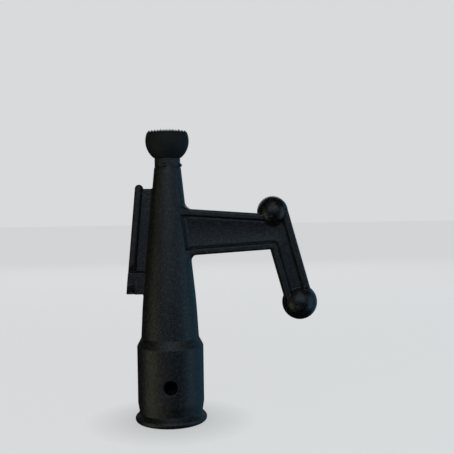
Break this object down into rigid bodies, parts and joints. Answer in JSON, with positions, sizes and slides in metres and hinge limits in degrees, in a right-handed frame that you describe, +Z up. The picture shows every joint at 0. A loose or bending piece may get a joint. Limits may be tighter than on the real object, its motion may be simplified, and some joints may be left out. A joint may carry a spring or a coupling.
{
  "type": "boat hook",
  "caption": "Boat hook head that slips over a telescoping handle and locks with its snap button, with a hook arm, ball ends and a non-skid pusher tip.",
  "frame": {"origin": "centre of the handle socket's mouth", "axes": "+Z up the shank to the pusher tip, +X out along the hook arm, -Y out through the snap button hole"},
  "size_m": [0.0979, 0.0366, 0.1481],
  "materials": {
    "moulded_nylon": "fine grained black nylon with a soft sheen",
    "tip_rubber": "black hard rubber with a cross-cut top",
    "pin_nylon": "smooth black nylon"
  },
  "bodies": {
    "root": {"pole_socket": "moulded_nylon", "socket_lip": "moulded_nylon", "socket_shoulder": "moulded_nylon", "tapered_shank": "moulded_nylon", "neck_collar": "moulded_nylon", "pusher_tip": "tip_rubber", "tip_pins": "pin_nylon", "arm_web": "moulded_nylon", "arm_top_flange": "moulded_nylon", "arm_bottom_flange": "moulded_nylon", "leg_web": "moulded_nylon", "leg_outer_flange": "moulded_nylon", "leg_inner_flange": "moulded_nylon", "corner_ball": "moulded_nylon", "hook_ball": "moulded_nylon", "fin_web": "moulded_nylon", "fin_rail": "moulded_nylon", "fin_block": "moulded_nylon"}
  },
  "joints": []
}
